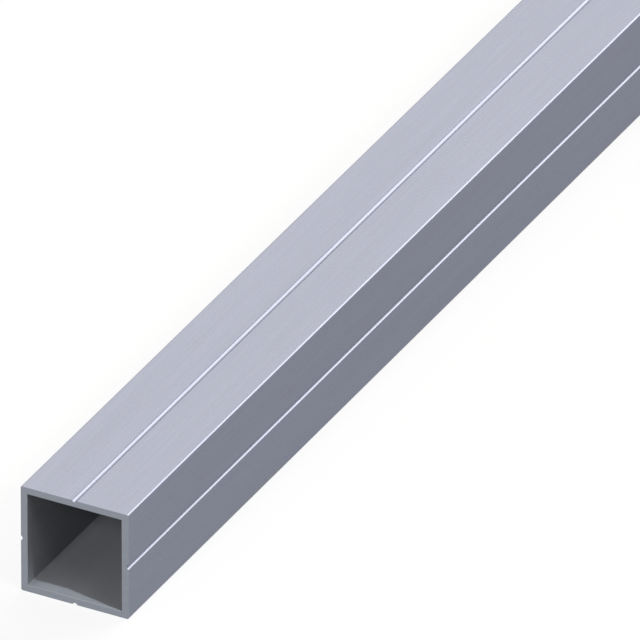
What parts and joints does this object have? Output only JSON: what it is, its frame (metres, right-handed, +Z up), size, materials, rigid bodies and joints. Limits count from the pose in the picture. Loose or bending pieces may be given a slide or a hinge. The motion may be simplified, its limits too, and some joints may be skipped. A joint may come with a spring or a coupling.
{
  "type": "square metal tube",
  "caption": "Straight square aluminium tube with a thin wall, square-sawn open ends and a fine marking groove along the middle of each outer face.",
  "frame": {"origin": "under the middle of the tube, on the plane that its lower face rests on", "axes": "+X along the tube, +Z up out of the upper face, +Y out of a side face"},
  "size_m": [0.3048, 0.0254, 0.0254],
  "materials": {
    "extruded_aluminium": "satin, as extruded"
  },
  "bodies": {
    "root": {"square_tube": "extruded_aluminium"}
  },
  "joints": []
}
